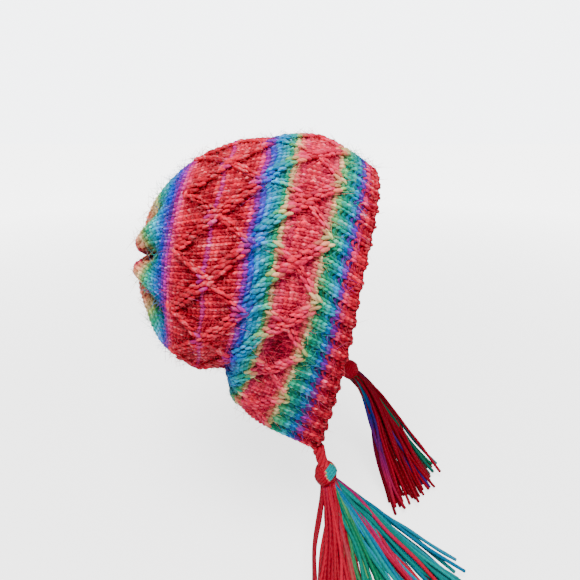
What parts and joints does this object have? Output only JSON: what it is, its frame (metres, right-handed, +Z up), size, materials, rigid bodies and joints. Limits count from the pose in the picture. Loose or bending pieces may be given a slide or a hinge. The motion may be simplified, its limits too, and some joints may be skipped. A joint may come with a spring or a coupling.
{
  "type": "knitted ear-flap beanie with tassels",
  "caption": "Hand-knitted slouchy beanie in the form that a head gives it, with a ribbed face band, a raised trellis pattern, ear flaps and a yarn tassel knotted to each flap.",
  "frame": {"origin": "point inside the crown that sits on top of the head that holds the hat up", "axes": "+X towards the face, +Y towards the left ear, +Z up"},
  "size_m": [0.253, 0.2423, 0.2924],
  "materials": {
    "self_striping_yarn": "knitted, slightly lustrous and fuzzy, striped red, violet, blue, teal, green and cream",
    "red_yarn": "bare yarn, slightly lustrous",
    "teal_yarn": "bare yarn, slightly lustrous",
    "crimson_yarn": "bare yarn, slightly lustrous"
  },
  "bodies": {
    "root": {"knit_crown": "self_striping_yarn", "face_band": "self_striping_yarn", "near_tie": "red_yarn", "near_knot": "red_yarn", "near_tassel": "teal_yarn", "far_tie": "red_yarn", "far_knot": "red_yarn", "far_tassel": "crimson_yarn"}
  },
  "joints": []
}
